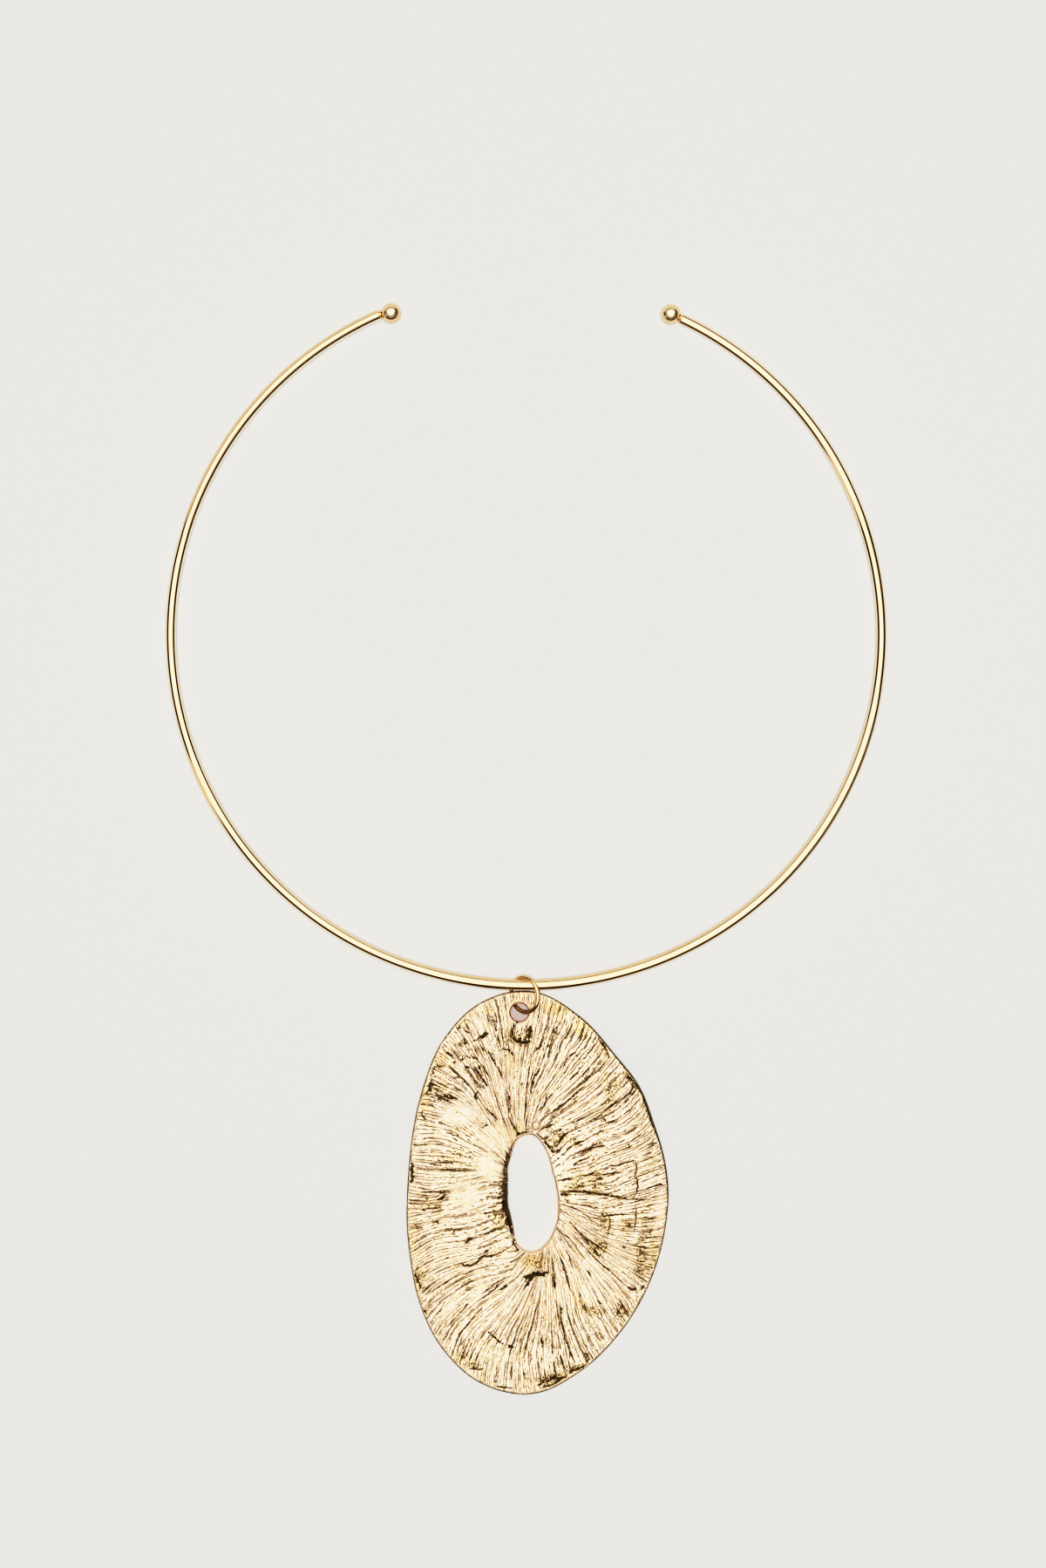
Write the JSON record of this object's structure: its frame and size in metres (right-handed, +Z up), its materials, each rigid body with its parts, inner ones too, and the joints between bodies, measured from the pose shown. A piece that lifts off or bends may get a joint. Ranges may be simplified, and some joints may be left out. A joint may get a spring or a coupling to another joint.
{
  "type": "cuff necklace",
  "caption": "Open round wire collar with ball ends, holding a large cast oval pendant with a slot on a jump ring; worn round the neck.",
  "frame": {"origin": "the middle of the neck opening, on the surface that the necklace lies on", "axes": "+Y points to the gap between the ball ends, at the back of the neck, -Y to the pendant, +Z up from the surface to the pendant's cast face, and +X to the right seen from that face"},
  "size_m": [0.1378, 0.2088, 0.0053],
  "materials": {
    "polished_wire": "gold plated and polished",
    "polished_ball": "gold plated and polished",
    "ring_wire": "gold plated wire",
    "cast_gold": "gold plated rough casting, dark in its grooves and bright on its ridges"
  },
  "bodies": {
    "root": {"collar_wire": "polished_wire", "bead_left": "polished_ball", "bead_right": "polished_ball", "jump_ring": "ring_wire", "pendant": "cast_gold"}
  },
  "joints": []
}
